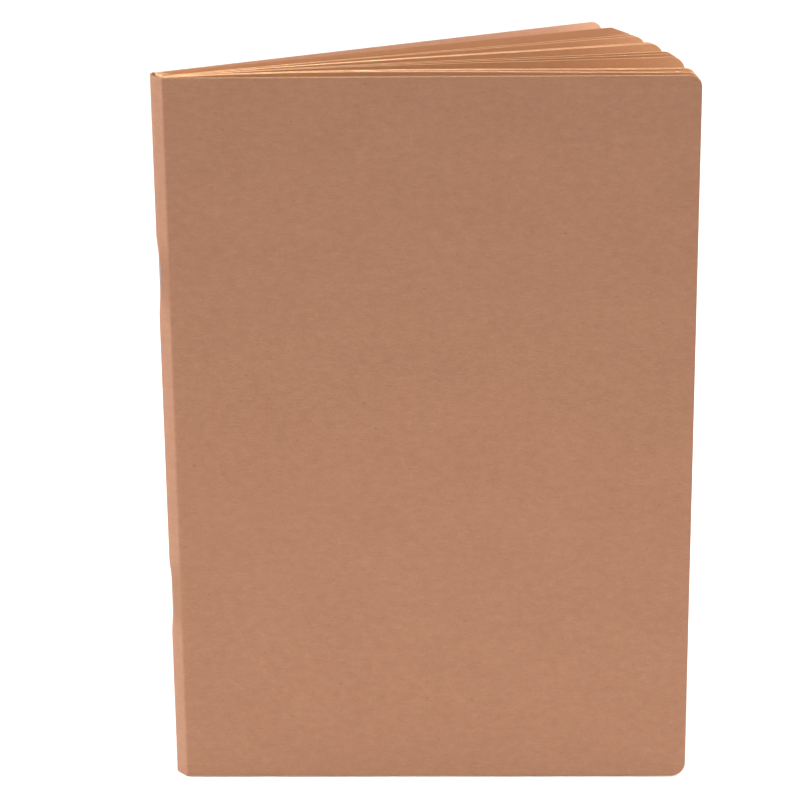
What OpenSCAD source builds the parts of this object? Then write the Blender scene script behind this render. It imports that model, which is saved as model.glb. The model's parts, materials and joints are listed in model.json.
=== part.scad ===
// Pocket notebook, A6: a soft card cover and fifteen folded sheets, stitched through the spine
// with two wire staples. It stands on its bottom edges, part way open, with its leaves fanned.
//
// +Z is up the spine, +X runs from the spine to the fore edge along the front cover, and +Y runs
// from the front cover to the back cover. The origin is the middle of the base of its box.
//
// Each folded sheet is one piece of paper. Its fold stays with the spine, and its two leaves turn
// about the ends of the fold. The same is true of the cover card.

/* [Book] */
// Height of the trimmed book
book_h = 148; // [105:1:210]
// Width of the closed book, from the spine to the trimmed fore edge
book_w = 105; // [74:1:148]
// Radius of the two fore-edge corners
corner_r = 3; // [1:0.5:8]
// How far the spine swells out between the staples
spine_swell = 0.3; // [0.1:0.05:0.3]

/* [Card and paper] */
// Thickness of the cover card
card_t = 0.32; // [0.31:0.01:0.45]
// Thickness of a leaf
paper_t = 0.095; // [0.08:0.005:0.12]
// Air between neighbouring leaves of the closed book
leaf_gap = 0.007; // [0.005:0.001:0.02]
// Air between the card and the outermost sheet of the closed book
card_gap = 0.012; // [0.01:0.002:0.03]

/* [Staples] */
// Diameter of the staple wire
wire_d = 0.4; // [0.35:0.05:0.5]
// Outside length of a staple's crown
crown_len = 9; // [8:0.5:12]
// Length of each clinched leg inside the centre sheet
clinch_len = 2.8; // [2:0.1:3.5]
// Distance between the two staples, middle to middle
staple_spacing = 68; // [40:1:80]
// How deep the crown is pressed into the spine
crown_sink = 0.2; // [0.1:0.05:0.2]
// Length of spine that each staple pulls in
pinch_len = 13; // [13:0.5:20]

/* [Standing pose] */
// Angle between the two covers
cover_angle = 31; // [26:1:60]
// Angle from the front cover to the middle plane of the spine
spine_angle = 24; // [10:1:25]

/* [Hidden] */
$fn = 64;
// How far each leaf has turned from the middle plane, as a share of its cover's turn,
// from the outermost sheet to the centre sheet.
front_shares = [0.95, 0.94, 0.92, 0.88, 0.87, 0.86, 0.6, 0.53, 0.475, 0.28, 0.27, 0.26, 0.245, 0.085, 0.04];
back_shares = [0.42, 0.41, 0.4, 0.38, 0.36, 0.34, 0.3, 0.28, 0.26, 0.16, 0.14, 0.12, 0.1, 0.08, 0.05];
sheets = len(front_shares);

// Clearance round the staple wire, and the depth by which a cutter passes through a face
wire_clear = 0.01;
cut = 1;
// A leaf starts this share of its thickness past its fold, so that it can turn a right angle
root_share = 0.6;

// Radii are taken at the middle of the thickness. The folds nest round the clinched staple legs.
sheet_pitch = paper_t + leaf_gap;
centre_r = wire_d / 2 + wire_clear + paper_t / 2;
outer_r = centre_r + (sheets - 1) * sheet_pitch;
card_r = outer_r + paper_t / 2 + card_gap + card_t / 2;
spine_r = card_r + card_t / 2;
// The trimmed fore edge of the closed book, from the middle of the folds
fore_edge = book_w - spine_r - spine_swell;
front_turn = spine_angle;
back_turn = cover_angle - spine_angle;
crown_u = spine_r + wire_d / 2 - crown_sink;
leg_reach = crown_len / 2 - wire_d / 2;
staple_heights = [(book_h - staple_spacing) / 2, (book_h + staple_spacing) / 2];

// The box of the standing book, measured from the middle of the folds
box_left = -spine_swell * cos(spine_angle) - spine_r;
box_right = card_r * sin(spine_angle) + fore_edge;
box_front = -spine_swell * sin(spine_angle) - spine_r;
box_back = card_r * cos(spine_angle) + fore_edge * sin(cover_angle) + card_t / 2 * cos(cover_angle);

cover_colour = [0.69, 0.51, 0.39];
paper_colour = [0.78, 0.59, 0.44];
wire_colour = "silver";

function sheet_r(k) = outer_r - (k - 1) * sheet_pitch;
function sheet_leg(k) = card_r - sheet_r(k);
function two_digits(k) = k < 10 ? str("0", k) : str(k);
function sheet_node(k, piece) = str("sheet_", two_digits(k), "_", piece);

// Places its children in the spine's own frame: +X along the closed book, +Y towards the back cover.
module in_spine() {
    translate([-(box_left + box_right) / 2, -(box_front + box_back) / 2, 0])
        rotate([0, 0, spine_angle])
        children();
}

// The flat shape of a cover or a leaf, from its root to the trimmed fore edge.
module panel_outline(root, length) {
    translate([root, 0]) square([length - corner_r - root, book_h]);
    translate([root, corner_r]) square([length - root, book_h - 2 * corner_r]);
    for (z = [corner_r, book_h - corner_r]) {
        translate([length - corner_r, z]) circle(r = corner_r);
    }
}

// A flat cover or leaf that leaves its fold at (leg, side * radius), turned out by an angle.
// The side is -1 at the front and 1 at the back.
module panel(side, radius, leg, thick, turn) {
    in_spine()
        translate([leg, side * radius, 0])
        rotate([90, 0, side * turn])
        linear_extrude(height = thick, center = true)
        panel_outline(root_share * thick, fore_edge - leg);
}

// A half-round bend with two straight legs, open towards the fore edge.
module bend(radius, thick, leg, height) {
    rotate_extrude(angle = 180, start = 90)
        translate([radius - thick / 2, 0])
        square([thick, height]);
    if (leg > 0) {
        for (side = [-1, 1]) {
            translate([0, side * radius - thick / 2, 0]) cube([leg, thick, height]);
        }
    }
}

// Cutters for the four staple legs, through everything on the spine side of the folds.
module staple_holes() {
    for (height = staple_heights, side = [-1, 1]) {
        translate([-crown_u - cut, 0, height + side * leg_reach])
            rotate([0, 90, 0])
            cylinder(d = wire_d + 2 * wire_clear, h = crown_u + cut);
    }
}

// A straight piece of wire with round ends, standing on the point (u, 0, z).
module upright_wire(u, z, length, diameter) {
    translate([u, 0, z]) {
        cylinder(d = diameter, h = length);
        sphere(d = diameter);
        translate([0, 0, length]) sphere(d = diameter);
    }
}

module front_cover() {
    color(cover_colour) panel(-1, card_r, 0, card_t, front_turn);
}

module back_cover() {
    color(cover_colour) panel(1, card_r, 0, card_t, back_turn);
}

// The part of the cover card that wraps the folds. It swells out except where the staples hold it.
module cover_spine() {
    loose_len = staple_heights[0] - pinch_len / 2;
    color(cover_colour) in_spine() difference() {
        union() {
            bend(card_r, card_t, 0, book_h);
            for (z = [0, book_h - loose_len]) {
                translate([-spine_swell, 0, z]) bend(card_r, card_t, spine_swell, loose_len);
            }
            translate([-spine_swell, 0, staple_heights[0] + pinch_len / 2])
                bend(card_r, card_t, spine_swell, staple_spacing - pinch_len);
        }
        staple_holes();
        for (height = staple_heights) {
            upright_wire(-crown_u, height - leg_reach, 2 * leg_reach, wire_d + 2 * wire_clear);
        }
    }
}

module sheet_fold(k) {
    color(paper_colour) in_spine() difference() {
        bend(sheet_r(k), paper_t, sheet_leg(k), book_h);
        staple_holes();
    }
}

module front_leaf(k) {
    color(paper_colour) panel(-1, sheet_r(k), sheet_leg(k), paper_t, front_turn * front_shares[k - 1]);
}

module back_leaf(k) {
    color(paper_colour) panel(1, sheet_r(k), sheet_leg(k), paper_t, back_turn * back_shares[k - 1]);
}

// A staple: the crown lies along the outside of the spine, the legs go through the folds, and
// their ends are clinched towards each other inside the centre sheet.
module staple(height) {
    color(wire_colour) in_spine() {
        upright_wire(-crown_u, height - leg_reach, 2 * leg_reach, wire_d);
        for (side = [-1, 1]) {
            translate([-crown_u, 0, height + side * leg_reach])
                rotate([0, 90, 0])
                cylinder(d = wire_d, h = crown_u);
            upright_wire(0, height + (side > 0 ? leg_reach - clinch_len : -leg_reach), clinch_len, wire_d);
        }
    }
}

module upper_staple() {
    staple(staple_heights[1]);
}

module lower_staple() {
    staple(staple_heights[0]);
}

front_cover();
cover_spine();
back_cover();
upper_staple();
lower_staple();
for (k = [1:sheets]) {
    front_leaf(k);
    sheet_fold(k);
    back_leaf(k);
}
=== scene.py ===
import json
import math

import bpy
import numpy as np
from mathutils import Matrix, Vector


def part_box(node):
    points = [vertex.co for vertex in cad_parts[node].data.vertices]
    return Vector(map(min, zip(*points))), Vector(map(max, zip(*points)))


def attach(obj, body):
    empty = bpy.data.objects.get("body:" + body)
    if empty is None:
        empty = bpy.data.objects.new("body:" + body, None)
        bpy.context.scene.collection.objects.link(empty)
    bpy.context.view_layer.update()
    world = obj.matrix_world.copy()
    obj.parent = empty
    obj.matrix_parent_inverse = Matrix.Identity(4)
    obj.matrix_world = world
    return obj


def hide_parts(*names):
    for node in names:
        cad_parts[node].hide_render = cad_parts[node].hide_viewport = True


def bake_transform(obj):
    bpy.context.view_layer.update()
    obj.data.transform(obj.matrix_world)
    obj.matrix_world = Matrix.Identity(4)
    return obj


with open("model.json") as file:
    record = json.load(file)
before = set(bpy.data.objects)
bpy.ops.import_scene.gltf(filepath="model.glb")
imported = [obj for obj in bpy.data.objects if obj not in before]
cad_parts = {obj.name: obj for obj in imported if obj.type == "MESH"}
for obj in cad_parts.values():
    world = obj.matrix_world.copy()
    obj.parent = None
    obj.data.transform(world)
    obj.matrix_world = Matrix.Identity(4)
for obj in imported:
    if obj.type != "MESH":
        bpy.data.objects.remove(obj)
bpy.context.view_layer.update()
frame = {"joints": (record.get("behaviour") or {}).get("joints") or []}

# ---------------------------------------------------------------- sizes (metres)
MM = 0.001
SHEETS = 15
CARD = 0.32 * MM                                 # thickness of the cover card
PAPER = 0.095 * MM                               # thickness of a leaf
LEAF_GAP = 0.007 * MM                            # air between neighbouring leaves of the closed book
CARD_GAP = 0.012 * MM                            # air between the card and the outermost sheet
CORNER = 3.0 * MM                                # radius of the corners at the fore edge
HEAD_CORNER = 2.3 * MM                           # the front cover's head corner is cut tighter,
TIGHT_LEAVES = 6                                 # and so are those of the first leaves behind it
CARD_WEAR = 0.16 * MM                            # how far the cut edges at head and foot are worn back
PAPER_WEAR = 0.04 * MM
STAPLE_MID = (40.0 * MM, 108.0 * MM)             # heights of the middles of the two staples
CROWN_LENGTH = 9.0 * MM                          # outside length of a staple's crown
WIRE = 0.4 * MM                                  # diameter of its wire

JOINTS = {j["name"]: j for j in frame["joints"]}


def hinge_of(joint):
    """Where a fold's upright axis stands, in X and Y."""
    return np.array(JOINTS[joint]["pos_m"][:2])


def opening(joint):
    """How far a fold stands open at rest. Its range starts where it is shut."""
    return math.radians(-JOINTS[joint]["range_deg"][0])


def direction(angle):
    return np.array([math.cos(angle), math.sin(angle)])


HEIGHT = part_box("front_cover")[1].z
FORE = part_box("front_cover")[1].x                # the fore edge of the front cover, which lies along +X
FRONT_HINGE = hinge_of("front_cover_fold")
BACK_HINGE = hinge_of("back_cover_fold")
FOLD_MID = (FRONT_HINGE + BACK_HINGE) / 2        # the middle of the folds
COVER_LENGTH = FORE - FRONT_HINGE[0]
SPINE_TURN = opening("front_cover_fold")         # from the front cover to the middle plane of the book
BACK_TURN = opening("back_cover_fold")           # and from there to the back cover
U = direction(SPINE_TURN)                        # along the closed book
V = np.array([-U[1], U[0]])                      # across it, from the front cover to the back cover
FRONT_OUT = np.array([1.0, 0.0])                 # along the standing covers, away from the spine
BACK_OUT = direction(SPINE_TURN + BACK_TURN)

CARD_R = float(np.linalg.norm(BACK_HINGE - FRONT_HINGE)) / 2
OUTER_R = CARD_R - CARD / 2 - CARD_GAP - PAPER / 2    # radius of the outermost sheet's fold
PITCH = PAPER + LEAF_GAP                         # from one sheet to the next
LEG_REACH = CROWN_LENGTH / 2 - WIRE / 2          # from the middle of a crown to each leg


def sheet_radius(k):
    """The radius of a sheet's fold in the closed book. Sheet 1 is the outermost."""
    return OUTER_R - (k - 1) * PITCH


def in_book(u, v):
    """Points of the closed book: u along it and v across it, from the middle of the folds."""
    return FOLD_MID + np.multiply.outer(u, U) + np.multiply.outer(v, V)


def smooth(t):
    """A soft step from 0 to 1."""
    t = np.clip(t, 0.0, 1.0)
    return t * t * (3 - 2 * t)


# ---------------------------------------------------------------- materials
class Nodes:
    """A short way to write a node tree."""

    def __init__(self, name):
        self.material = bpy.data.materials.new(name)
        self.material.use_nodes = True
        self.tree = self.material.node_tree
        self.tree.nodes.clear()

    def add(self, kind, inputs=(), **settings):
        """A node. Each input is a plain value or the output of another node."""
        n = self.tree.nodes.new(kind)
        for k, v in settings.items():
            setattr(n, k, v)
        for k, v in dict(inputs).items():
            self.plug(n.inputs[k], v)
        return n

    def plug(self, socket, value):
        if isinstance(value, bpy.types.NodeSocket):
            self.tree.links.new(value, socket)
        else:
            socket.default_value = value

    def uv(self, sx, sy, shift=(0.0, 0.0)):
        u = self.add("ShaderNodeUVMap", uv_map="UVMap").outputs[0]
        m = self.add("ShaderNodeMapping", {
            "Vector": u, "Scale": (sx, sy, 1.0), "Location": (*shift, 0.0)})
        return m.outputs[0]

    def noise(self, sx, sy, detail=3.0, rough=0.5, shift=(0.0, 0.0), distortion=0.0):
        """Noise with sx blotches in a metre across the page and sy up it."""
        return self.add("ShaderNodeTexNoise", {
            "Vector": self.uv(sx, sy, shift), "Scale": 1.0, "Detail": detail,
            "Roughness": rough, "Distortion": distortion}).outputs["Fac"]

    def ramp(self, value, low, high, to_low=0.0, to_high=1.0):
        return self.add("ShaderNodeMapRange", {
            "Value": value, "From Min": low, "From Max": high,
            "To Min": to_low, "To Max": to_high}, clamp=True).outputs["Result"]

    def math(self, op, a, b=0.0):
        return self.add("ShaderNodeMath", {0: a, 1: b}, operation=op).outputs[0]

    def mix(self, factor, a, b):
        n = self.add("ShaderNodeMix", data_type="RGBA")
        for socket, value in ((n.inputs[0], factor), (n.inputs[6], a), (n.inputs[7], b)):
            self.plug(socket, value)
        return n.outputs[2]

    def finish(self, colour, rough, height, bump, distance, **more):
        """The material, with a bump made from the height."""
        normal = self.add("ShaderNodeBump", {
            "Height": height, "Strength": bump, "Distance": distance}).outputs[0]
        shader = self.add("ShaderNodeBsdfPrincipled", {
            "Base Color": colour, "Roughness": rough, "Normal": normal, **more}).outputs[0]
        self.add("ShaderNodeOutputMaterial", {"Surface": shader})
        return self.material


def srgb(r, g, b):
    """An sRGB colour, 0 to 255, as a linear one."""
    def linear(c):
        c /= 255
        return c / 12.92 if c <= 0.04045 else ((c + 0.055) / 1.055) ** 2.4
    return (linear(r), linear(g), linear(b), 1.0)


def kraft_face(name, base, dark, light, speck, mottle, fibres):
    """The face of uncoated kraft: cloudy mottle, fibres lying mostly across the page, a few specks."""
    n = Nodes(name)
    clouds = n.noise(70, 95, 3.0, 0.55)
    patches = n.noise(420, 640, 3.0, 0.6, (3.1, 7.7))
    grain = n.noise(1700, 2400, 3.0, 0.6, (1.3, 2.9))
    flecks = n.noise(620, 2500, 2.0, 0.55, (9.1, 4.3), 0.4)
    threads = n.noise(2300, 700, 2.0, 0.5, (5.7, 8.2), 0.5)
    specks = n.noise(900, 1150, 1.0, 0.4, (2.2, 6.1))
    tone = n.math("ADD", n.ramp(clouds, 0.3, 0.7, -0.14, 0.14), n.ramp(patches, 0.3, 0.7, -0.4, 0.4))
    tone = n.math("ADD", tone, n.ramp(grain, 0.25, 0.75, -0.45, 0.45))
    tone = n.ramp(tone, -1.2, 1.2)
    c = n.mix(mottle, base, n.mix(tone, dark, light))
    c = n.mix(n.ramp(flecks, 0.6, 0.74, 0.0, fibres), c, dark)
    c = n.mix(n.ramp(flecks, 0.4, 0.28, 0.0, fibres), c, light)
    c = n.mix(n.ramp(threads, 0.64, 0.76, 0.0, fibres * 0.7), c, light)
    c = n.mix(n.ramp(specks, 0.74, 0.79, 0.0, 0.3), c, speck)
    height = n.math("ADD", n.math("MULTIPLY", grain, 0.6), n.math("MULTIPLY", flecks, 0.5))
    return n.finish(c, n.ramp(patches, 0.3, 0.7, 0.8, 0.92), height, 0.25, 0.04 * MM,
                    **{"Specular IOR Level": 0.25, "Sheen Weight": 0.08, "Sheen Roughness": 0.6})


def kraft_edge(name, base, light, dark):
    """The cut edge: paler, speckled with the ends of fibres, and darker in places along it."""
    n = Nodes(name)
    ends = n.noise(1500, 1500, 3.0, 0.6, (4.4, 1.2))
    lines = n.noise(350, 350, 2.0, 0.5, (7.7, 3.3))
    c = n.mix(n.ramp(ends, 0.35, 0.65), base, light)
    c = n.mix(n.ramp(lines, 0.45, 0.75, 0.0, 0.35), c, dark)
    return n.finish(c, 0.92, ends, 0.3, 0.03 * MM, **{"Specular IOR Level": 0.2})


def wire_material():
    """Dull drawn steel: fine lines along the wire."""
    n = Nodes("drawn_steel")
    lines = n.noise(90, 5200, 3.0, 0.6)
    spots = n.noise(900, 900, 2.0, 0.5, (3.3, 1.1))
    c = n.mix(n.ramp(lines, 0.3, 0.7), (0.2, 0.2, 0.205, 1.0), (0.3, 0.3, 0.305, 1.0))
    return n.finish(c, n.ramp(spots, 0.3, 0.7, 0.36, 0.5), lines, 0.12, 0.01 * MM, Metallic=1.0)


def floor_material():
    n = Nodes("pale_floor")
    soft = n.noise(3, 3, 3.0, 0.5)
    fine = n.noise(700, 700, 2.0, 0.5)
    c = n.mix(n.ramp(soft, 0.3, 0.7), (0.86, 0.86, 0.86, 1.0), (0.88, 0.88, 0.88, 1.0))
    return n.finish(c, 0.9, fine, 0.02, 0.2 * MM, **{"Specular IOR Level": 0.1})


card_face = kraft_face(
    "kraft_card", base=srgb(144, 101, 76), dark=srgb(130, 88, 64), light=srgb(159, 116, 90),
    speck=srgb(94, 60, 42), mottle=0.8, fibres=0.44)
# Painted light: the card's inner face is a much paler, lit copy of the card. It stands in for the light
# falling on the inside of the covers.
card_inside_painted_light = kraft_face(
    "kraft_card_inside_painted_light", base=srgb(204, 156, 124), dark=srgb(191, 143, 112), light=srgb(217, 169, 138),
    speck=srgb(143, 103, 78), mottle=0.7, fibres=0.3)
card_edge = kraft_edge(
    "kraft_card_cut", base=srgb(145, 111, 83), light=srgb(160, 128, 99), dark=srgb(126, 91, 66))
page_face = kraft_face(
    "kraft_page", base=srgb(193, 139, 98), dark=srgb(181, 125, 84), light=srgb(205, 153, 112),
    speck=srgb(133, 89, 59), mottle=0.6, fibres=0.26)
page_edge = kraft_edge(
    "kraft_page_cut", base=srgb(201, 152, 110), light=srgb(221, 175, 133), dark=srgb(174, 125, 86))
steel = wire_material()


# ---------------------------------------------------------------- mesh code
def mesh_object(name, verts, faces, uvs, materials):
    """A new object in the scene. Its uvs are a (u, v) pair for each corner of each face."""
    mesh = bpy.data.meshes.new(name)
    mesh.from_pydata(verts, [], faces)
    mesh.uv_layers.new(name="UVMap").data.foreach_set("uv", np.array(uvs, np.float32).ravel())
    for material in materials:
        mesh.materials.append(material)
    obj = bpy.data.objects.new(name, mesh)
    bpy.context.scene.collection.objects.link(obj)
    return obj


def grid_normals(mid):
    """Unit normals of the grid, from its own tangents."""
    n = np.cross(np.gradient(mid, axis=0), np.gradient(mid, axis=1))
    return n / np.linalg.norm(n, axis=2, keepdims=True)


def running_length(points):
    """The length of a path up to each of its points."""
    return np.concatenate([[0.0], np.cumsum(np.linalg.norm(np.diff(points, axis=0), axis=1))])


def mark_sharp(mesh):
    """Keeps the edges sharp where two materials meet."""
    beside = {}
    for p in mesh.polygons:
        for key in p.edge_keys:
            beside.setdefault(key, set()).add(p.material_index)
    sharp = np.array([len(beside[tuple(sorted(e.vertices))]) > 1 for e in mesh.edges], bool)
    mesh.attributes.new("sharp_edge", "BOOLEAN", "EDGE").data.foreach_set("value", sharp)


def sheet_mesh(name, mid, uv, thick, wear, materials, open_start=False):
    """A sheet round the grid of points mid[i, j], along its path (i) and up the book (j).

    The materials are for the outer face, the cut edges and the inner face. The cut edges at the head and
    foot are worn back on the outer face. A sheet with an open start has no cut edge where it begins."""
    ni, nj = mid.shape[:2]
    normal = grid_normals(mid)
    inner, outer = mid - normal * (thick / 2), mid + normal * (thick / 2)
    for rim, next_row in ((0, 1), (-1, -2)):
        down = mid[:, next_row] - mid[:, rim]
        outer[:, rim] += down / np.linalg.norm(down, axis=1, keepdims=True) * wear

    def at(layer, i, j):
        return (layer * ni + i) * nj + j

    faces, uvs, indices = [], [], []
    for layer, index in ((0, 2), (1, 0)):
        for i in range(ni - 1):
            for j in range(nj - 1):
                quad = [(i, j), (i + 1, j), (i + 1, j + 1), (i, j + 1)]
                if layer == 0:
                    quad = quad[::-1]
                faces.append([at(layer, *q) for q in quad])
                uvs.extend(uv[q] for q in quad)
                indices.append(index)
    ring = [(i, 0) for i in range(ni)] + [(ni - 1, j) for j in range(1, nj)]
    ring += [(i, nj - 1) for i in range(ni - 2, -1, -1)]
    if not open_start:
        ring += [(0, j) for j in range(nj - 2, -1, -1)]
    run = 0.0
    for a, b in zip(ring, ring[1:]):
        step = float(np.linalg.norm(mid[b] - mid[a]))
        faces.append([at(0, *a), at(0, *b), at(1, *b), at(1, *a)])
        uvs.extend([(run, 0.0), (run + step, 0.0), (run + step, thick), (run, thick)])
        indices.append(1)
        run += step
    verts = np.concatenate([inner.reshape(-1, 3), outer.reshape(-1, 3)])
    obj = mesh_object(name, verts.tolist(), faces, uvs, materials)
    mesh = obj.data
    mesh.polygons.foreach_set("material_index", np.array(indices, np.int32))
    mesh.polygons.foreach_set("use_smooth", np.ones(len(faces), bool))
    mesh.update()
    mark_sharp(mesh)
    mesh.validate()
    return obj


def panel_rows(path, length, rows, head):
    """The heights of the grid at each distance along a panel whose two fore-edge corners are rounded."""
    def inset(radius):
        past = np.clip(path - (length - radius), 0.0, radius)
        return (radius - np.sqrt(np.maximum(radius ** 2 - past ** 2, 0.0)))[:, None]
    t = np.linspace(0.0, 1.0, rows)[None, :]
    return inset(CORNER) * (1 - t) + (HEIGHT - inset(head)) * t


def panel_path(length, steps, near):
    """Distances along a panel: the given ones near its fold, then even, then by angle round the corners."""
    turn = np.sin(np.radians(np.linspace(0.0, 90.0, 13)))[1:] * CORNER + length - CORNER
    even = np.linspace(0.0, length - CORNER, steps)
    return np.concatenate([near, even[even > near[-1] * 1.2], turn])


def bezier(p0, p1, p2, p3, t):
    t = t[:, None]
    return p0 * (1 - t) ** 3 + 3 * p1 * t * (1 - t) ** 2 + 3 * p2 * t * t * (1 - t) + p3 * t ** 3


# ---------------------------------------------------------------- the worn spine and head
HELD_BELOW, HELD_ABOVE = 2.5 * MM, 3.8 * MM      # how far from its middle a staple holds the card in,
EASE_BELOW, EASE_ABOVE = 6.5 * MM, 4.2 * MM      # and the length over which the card comes free
SPINE_LEAN = 0.2 * MM                            # how far the spine leans out to the left by the head
HEAD_DIP = 0.3 * MM                              # how far the head dips round the front of the spine
HEAD_RISE = 0.47 * MM                            # how far it rises at the back of the spine,
RISE_START = 0.8                                 # from what share of the height upwards,
RISE_END = 0.88                                  # and at what share of the covers' length it ends
SPAN_STEPS = 8                                   # steps from one given point of the spine to the next
SEAM = 8 * SPAN_STEPS                            # the card's halves meet at the ninth, furthest left


def pinch(z):
    """How much the staples pull the spine in at each height, from 0 to 1."""
    out = np.zeros_like(z)
    for mid in STAPLE_MID:
        low = smooth((z - mid + HELD_BELOW) / EASE_BELOW + 1)
        high = 1 - smooth((z - mid - HELD_ABOVE) / EASE_ABOVE)
        out = np.maximum(out, low * high)
    return out


def section(points):
    """A smooth curve through points in mm. Its ends are in line with the front cover and the back cover."""
    pts = np.array(points) * MM
    tangents = np.gradient(pts, axis=0)
    tangents[0] = -FRONT_OUT * np.linalg.norm(pts[1] - pts[0])
    tangents[-1] = BACK_OUT * np.linalg.norm(pts[-1] - pts[-2])
    t = np.linspace(0.0, 1.0, SPAN_STEPS + 1)
    curve = [pts[:1]]
    for a, b, leave, arrive in zip(pts, pts[1:], tangents, tangents[1:]):
        curve.append(bezier(a, a + leave / 3, b - arrive / 3, b, t)[1:])
    return np.concatenate(curve)


def spine_sections():
    """The middle of the card round the spine at rest, from the middle of the folds: where the card is free,
    with a flat facet and a soft back corner, and where a staple holds it."""
    front = (FRONT_HINGE - FOLD_MID) / MM
    back = (BACK_HINGE - FOLD_MID) / MM
    free = [front, (0.42, front[1]), (0.08, front[1] + 0.03), (-0.22, front[1] + 0.2),
            (-0.62, -1.10), (-1.16, -0.50), (-1.70, 0.10), (-2.16, 0.66), (-2.33, 1.02),
            (-2.28, 1.38), (-2.05, 1.57), (-1.70, 1.60), (-1.26, back[1] - 0.19), back]
    held = [front, (0.42, front[1]), (0.08, front[1] + 0.02), (-0.26, front[1] + 0.14),
            (-0.72, -1.36), (-1.22, -1.08), (-1.66, -0.78), (-1.86, -0.36), (-1.90, 0.2),
            (-1.87, 0.64), (-1.74, 0.98), (-1.52, 1.24), (-1.22, back[1] - 0.25), back]
    return section(free), section(held)


def raised(flat, z):
    """Points with X and Y from flat and heights from z, raised near the head, which is cut a little out of
    square: it rises from the front cover to the back of the spine, and falls again to the fore edges."""
    past = np.clip(flat[..., 0] - BACK_HINGE[0], 0.0, None)
    depth = BACK_HINGE[1] - FRONT_HINGE[1] + past * math.tan(SPINE_TURN + BACK_TURN)
    back = np.clip((flat[..., 1] - FRONT_HINGE[1]) / depth, 0.0, 1.0) ** 2
    fall = 1 - np.clip((flat[..., 0] - FOLD_MID[0]) / (COVER_LENGTH * RISE_END), 0.0, 1.0)
    up = smooth((z / HEIGHT - RISE_START) / (1 - RISE_START))
    return np.dstack([flat, z + HEAD_RISE * back * fall * up])


# ---------------------------------------------------------------- covers
def cover(name, side, head):
    """Half of the card round the spine, and a cover, in one bent piece."""
    hinge, out = (FRONT_HINGE, FRONT_OUT) if side < 0 else (BACK_HINGE, BACK_OUT)
    part = slice(SEAM, None, -1) if side < 0 else slice(SEAM, None)
    free, held = spine_sections()
    run = running_length(free)
    free, held, arc = free[part], held[part], abs(run[part] - run[SEAM])
    rows = 149                                   # a millimetre apart
    left = smooth((-free[:, 0] - 0.3 * MM) / (1.6 * MM))             # 1 on the left of the spine
    ahead = np.clip((BACK_HINGE[1] - FOLD_MID[1] - free[:, 1]) / (3.0 * MM), 0.0, 1.0)    # 1 at its front
    wrap_z = np.linspace(0.0, 1.0, rows)[None, :] * (HEIGHT - (HEAD_DIP * left * ahead)[:, None])
    hold = pinch(wrap_z)[..., None]
    wrap = FOLD_MID + free[:, None, :] * (1 - hold) + held[:, None, :] * hold
    wrap[..., 0] -= SPINE_LEAN * left[:, None] * wrap_z / HEIGHT
    near = np.array([*np.linspace(0.25, 3, 12), 3.6, 4.4, 5.6, 7.5]) * MM
    path = panel_path(COVER_LENGTH, 40, near)
    panel = np.repeat((hinge + np.multiply.outer(path, out))[:, None, :], rows, axis=1)
    z = np.concatenate([wrap_z, panel_rows(path, COVER_LENGTH, rows, head)])
    mid = raised(np.concatenate([wrap, panel]), z)
    along = np.concatenate([arc, arc[-1] + path])
    uv = np.dstack([np.tile((side * -along)[:, None], (1, rows)), z])
    if side > 0:
        mid, uv = mid[:, ::-1], uv[:, ::-1]
    # the inner face gets the paler copy of the card, which has light painted into it
    obj = sheet_mesh(name, mid, uv, CARD, CARD_WEAR, (card_face, card_edge, card_inside_painted_light), open_start=True)
    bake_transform(obj)
    return obj


front = cover("card_front", -1, HEAD_CORNER)
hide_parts("front_cover", "cover_spine")
back = cover("card_back", 1, CORNER)
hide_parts("back_cover")


# ---------------------------------------------------------------- sheets
FRONT_REACH, BACK_REACH = 100 * MM, 60 * MM      # how far out a leaf goes on bending
FACET_ANGLE = math.radians(48.0)                 # the flat of the spine faces this far left of the front
FACET_OUT = np.array([-math.sin(FACET_ANGLE), -math.cos(FACET_ANGLE)])
FACET_PRESS = 0.42                               # how much of their depth the folds lose behind it
BACK_CORNER = np.array([-0.906, 0.423])          # towards the back corner of the spine
CORNER_PUSH = 0.4 * MM                           # how far the outermost fold is pushed into it
GRAIN_SHIFT = (0.137, 0.211)                     # moves the texture from one sheet to the next


def opened(points, hinge, alpha, side, reach):
    """That share depends on where they end up, so it is found by repeated tries."""
    out = direction(SPINE_TURN + side * alpha)
    rel = points - hinge
    share = np.where(rel @ U > 0, 1.0, 0.0)
    for _ in range(60):
        a = side * alpha * share
        c, s = np.cos(a), np.sin(a)
        turned = np.stack([rel[..., 0] * c - rel[..., 1] * s, rel[..., 0] * s + rel[..., 1] * c], axis=-1)
        share = 0.5 * share + 0.5 * smooth((turned @ out + reach) / (2 * reach))
    start = hinge - out * reach
    stop = hinge + out * reach
    return hinge + turned, (*start, 0.0), (*stop, 0.0)


def leaf(name, side, k):
    """A leaf, which bends out of its fold over most of its width."""
    word = "front" if side < 0 else "back"
    joint = f"{word}_leaf_{k:02d}_fold"
    r = sheet_radius(k)
    length = COVER_LENGTH - (CARD_R - r)
    path = panel_path(length, 30, np.array([0.0, 0.5, 1.0, 1.8, 3.0]) * MM)
    rows = 9
    z = panel_rows(path, length, rows, HEAD_CORNER if side < 0 and k <= TIGHT_LEAVES else CORNER)
    points = in_book(np.tile((CARD_R - r + path)[:, None], (1, rows)), np.full(z.shape, side * r))
    reach = FRONT_REACH if side < 0 else BACK_REACH
    flat, start, stop = opened(points, hinge_of(joint), opening(joint), side, reach)
    mid = raised(flat, z)
    shift = GRAIN_SHIFT[0] * k + (0.5 if side > 0 else 0.0)
    uv = np.dstack([np.tile(path[:, None], (1, rows)) + shift, z + GRAIN_SHIFT[1] * k])
    if side > 0:
        mid, uv = mid[:, ::-1], uv[:, ::-1]
    obj = sheet_mesh(name, mid, uv, PAPER, PAPER_WEAR, (page_face, page_edge, page_face))
    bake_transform(obj)
    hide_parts(f"sheet_{k:02d}_{word}_leaf")


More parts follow.
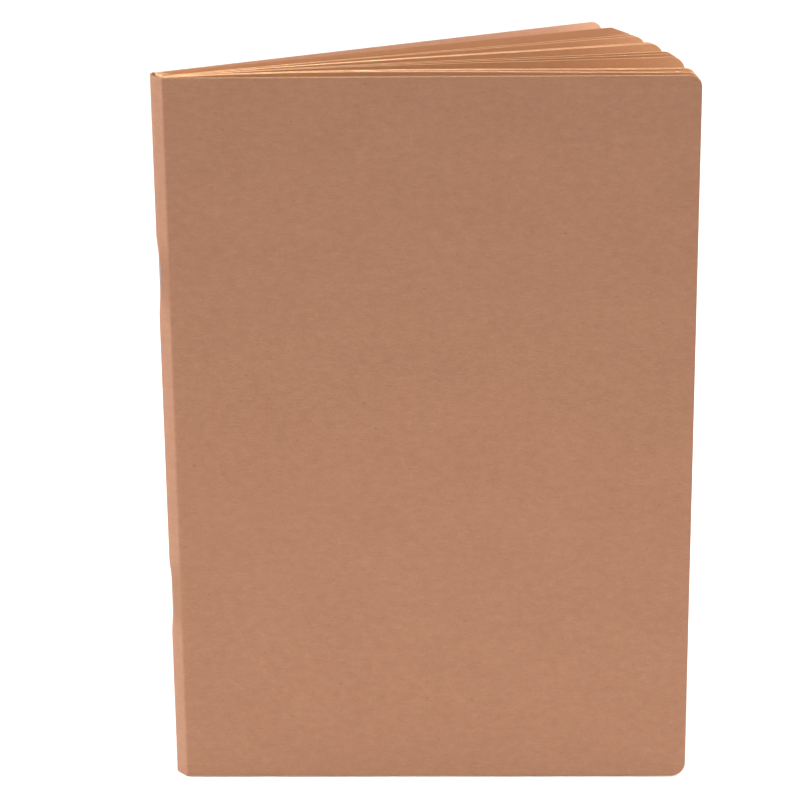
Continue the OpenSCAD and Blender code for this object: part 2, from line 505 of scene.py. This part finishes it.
def fold(k):
    """The bent middle of a sheet, which stays with the spine and follows the card's facet and corner."""
    r = sheet_radius(k)
    leg = CARD_R - r
    psi = np.radians(np.linspace(-90.0, 90.0, 21))
    u = np.concatenate([[leg], -r * np.cos(psi), [leg]])
    v = np.concatenate([[-r], r * np.sin(psi), [r]])
    z = np.tile(np.linspace(0.0, HEIGHT, 75), (len(u), 1))
    flat = in_book(u, v) - FOLD_MID
    towards = np.clip(flat @ BACK_CORNER / np.linalg.norm(flat, axis=1), 0.0, 1.0) ** 8
    towards *= smooth(-u / (0.4 * MM))
    push = CORNER_PUSH * r / OUTER_R * towards[:, None] * (1 - pinch(z))
    flat = flat[:, None, :] + push[..., None] * BACK_CORNER
    press = np.clip(flat @ FACET_OUT, 0.0, None) * FACET_PRESS * smooth(-u / (0.9 * MM))[:, None]
    flat = FOLD_MID + flat - press[..., None] * FACET_OUT
    across = running_length(flat[:, 0])
    uv = np.dstack([np.tile(across[:, None], (1, z.shape[1])) + GRAIN_SHIFT[0] * k, z + GRAIN_SHIFT[1] * k])
    obj = sheet_mesh(f"fold_{k:02d}", raised(flat, z), uv, PAPER, 0.0, (page_face, page_edge, page_face))
    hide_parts(f"sheet_{k:02d}_fold")
    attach(obj, "spine")


for k in range(1, SHEETS + 1):
    fold(k)
    leaf(f"page_front_{k:02d}", -1, k)
    leaf(f"page_back_{k:02d}", 1, k)


# ---------------------------------------------------------------- staples
CROWN_SINK = 0.4 * MM                            # how far a crown is pressed into the soft card,
SHOULDER_SINK = 0.14 * MM                        # and how much deeper its two ends are
CROWN_LEAN = 0.15 * MM                           # how much further out it stands, per height of the book
WIRE_BEND = 0.45 * MM                            # radius of the wire's bends
WIRE_SIDES = 14


def staple_half(crown):
    """Half of a staple's wire, as (u, z) from the middle of its crown: the crown, which stands at -crown,
    a leg through the spine, and the end clinched inside the centre sheet."""
    crown_z = np.array([0.6, 1.4, 2.2, 2.5, 2.8, 3.1, 3.4, 3.6]) * MM
    sunk = SHOULDER_SINK * smooth((crown_z - 2.2 * MM) / (1.6 * MM))
    quarter = np.radians(np.linspace(0.0, 90.0, 7))
    leg_start = -crown + SHOULDER_SINK
    clinched_u = np.array([0.06, 0.10, 0.07, 0.0]) * MM
    clinched_z = LEG_REACH - np.array([1.1, 1.8, 2.4, 2.75]) * MM
    u = [sunk - crown, leg_start + WIRE_BEND * (1 - np.cos(quarter)),
         -WIRE_BEND * (1 - np.sin(quarter)), clinched_u]
    z = [crown_z, LEG_REACH - WIRE_BEND * (1 - np.sin(quarter)),
         LEG_REACH - WIRE_BEND * (1 - np.cos(quarter)), clinched_z]
    return np.column_stack([np.concatenate(u), np.concatenate(z)])


def staple(name, node, height):
    """A wire staple: crown outside the spine, legs through it, ends clinched inside the centre sheet."""
    crown = CARD_R + CARD / 2 + WIRE / 2 - CROWN_SINK + CROWN_LEAN * (height - STAPLE_MID[0]) / HEIGHT
    half = staple_half(crown)
    line = np.concatenate([half[::-1] * (1, -1), half])
    pts = np.column_stack([in_book(line[:, 0], np.zeros(len(line))), height + line[:, 1]])
    tangents = np.gradient(pts, axis=0)
    tangents /= np.linalg.norm(tangents, axis=1, keepdims=True)
    across = np.array([*V, 0.0])
    other = np.cross(tangents, across)
    other /= np.linalg.norm(other, axis=1, keepdims=True)
    turn = np.linspace(0, 2 * math.pi, WIRE_SIDES, endpoint=False)[None, :, None]
    verts = pts[:, None] + (across * np.cos(turn) + other[:, None] * np.sin(turn)) * (WIRE / 2)
    run = running_length(pts)
    girth = np.linspace(0.0, math.pi * WIRE, WIRE_SIDES + 1)
    faces, uvs = [], []
    for i in range(len(pts) - 1):
        here, ahead = i * WIRE_SIDES, (i + 1) * WIRE_SIDES
        for j in range(WIRE_SIDES):
            k = (j + 1) % WIRE_SIDES
            faces.append([here + j, here + k, ahead + k, ahead + j])
            uvs += [(run[i], girth[j]), (run[i], girth[j + 1])]
            uvs += [(run[i + 1], girth[j + 1]), (run[i + 1], girth[j])]
    for end, order in ((0, -1), (len(pts) - 1, 1)):
        faces.append([end * WIRE_SIDES + j for j in range(WIRE_SIDES)][::order])
        uvs += [(0.001 * math.cos(j), 0.001 * math.sin(j)) for j in range(WIRE_SIDES)]
    obj = mesh_object(name, verts.reshape(-1, 3).tolist(), faces, uvs, [steel])
    is_smooth = np.ones(len(faces), bool)
    is_smooth[-2:] = False                       # the two cut ends
    obj.data.polygons.foreach_set("use_smooth", is_smooth)
    obj.data.validate()
    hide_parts(node)
    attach(obj, "spine")


staple("staple_upper", "upper_staple", STAPLE_MID[1])
staple("staple_lower", "lower_staple", STAPLE_MID[0])


# ---------------------------------------------------------------- floor, light, camera
def plane(name, size, z):
    s = size / 2
    corners = [(-s, -s, z), (s, -s, z), (s, s, z), (-s, s, z)]
    uvs = [(0, 0), (size, 0), (size, size), (0, size)]
    obj = mesh_object(name, corners, [(0, 1, 2, 3)], uvs, [floor_material()])


plane("floor", 12.0, -0.05 * MM)


def area(name, place, target, size, watts, spread=180):
    """A lamp that faces its target."""
    light = bpy.data.lights.new(name, "AREA")
    light.shape = "RECTANGLE"
    light.size, light.size_y = size
    light.energy = watts
    light.spread = math.radians(spread)
    obj = bpy.data.objects.new(name, light)
    bpy.context.scene.collection.objects.link(obj)
    obj.location = place
    obj.rotation_mode = "QUATERNION"
    obj.rotation_quaternion = (Vector(target) - Vector(place)).to_track_quat("-Z", "Y")


area("side_left", (-0.9, 0.0, 0.42), (0.0, 0.0, 0.1), (1.0, 0.8), 14.4)
area("side_right", (0.9, 0.05, 0.42), (0.0, 0.0, 0.1), (1.0, 0.8), 16.0)
area("overhead", (0.0, -0.25, 1.2), (0.0, -0.1, 0.0), (0.8, 0.6), 4.5)
area("backdrop", (0.0, 1.5, 1.3), (0.0, 1.4, 0.0), (3.0, 1.6), 14.0)
area("floor_bounce", (0.0, -0.1, 1.3), (0.0, -0.1, 0.0), (0.2, 0.1), 0.1, spread=18)
area("front", (0.0, -1.1, 0.12), (0.0, 0.0, 0.02), (1.2, 0.2), 0.8)
area("front_low", (0.0, -0.9, 0.1), (0.0, 0.0, -0.03), (0.5, 0.05), 0.105, spread=30)

scene = bpy.context.scene
world = bpy.data.worlds.new("studio")
world.use_nodes = True
world.node_tree.nodes["Background"].inputs["Color"].default_value = (1.0, 1.0, 1.0, 1.0)
world.node_tree.nodes["Background"].inputs["Strength"].default_value = 0.35
scene.world = world
scene.view_settings.view_transform = "Standard"

# The photo's camera: how far it looks down and to the left of +Y, its tilt, and where it stands
LOOK_DOWN = math.radians(18.4431)
LOOK_LEFT = math.radians(1.19)
TILT = math.radians(-0.5649)
CAMERA_PLACE = Vector((0.055762 + FOLD_MID[0], -0.520235 + FOLD_MID[1], 0.255647))

camera_data = bpy.data.cameras.new("camera")
camera_data.sensor_width = 36.0
camera_data.lens = 123.6465
camera_data.clip_start, camera_data.clip_end = 0.01, 50.0
camera = bpy.data.objects.new("camera", camera_data)
scene.collection.objects.link(camera)
level = math.cos(LOOK_DOWN)
forward = Vector((-math.sin(LOOK_LEFT) * level, math.cos(LOOK_LEFT) * level, -math.sin(LOOK_DOWN)))
right = forward.cross(Vector((0, 0, 1))).normalized()
up = right.cross(forward)
tilted_right = right * math.cos(TILT) + up * math.sin(TILT)
tilted_up = -right * math.sin(TILT) + up * math.cos(TILT)
facing = Matrix((tilted_right, tilted_up, -forward)).transposed().to_4x4()
camera.matrix_world = Matrix.Translation(CAMERA_PLACE) @ facing
scene.camera = camera
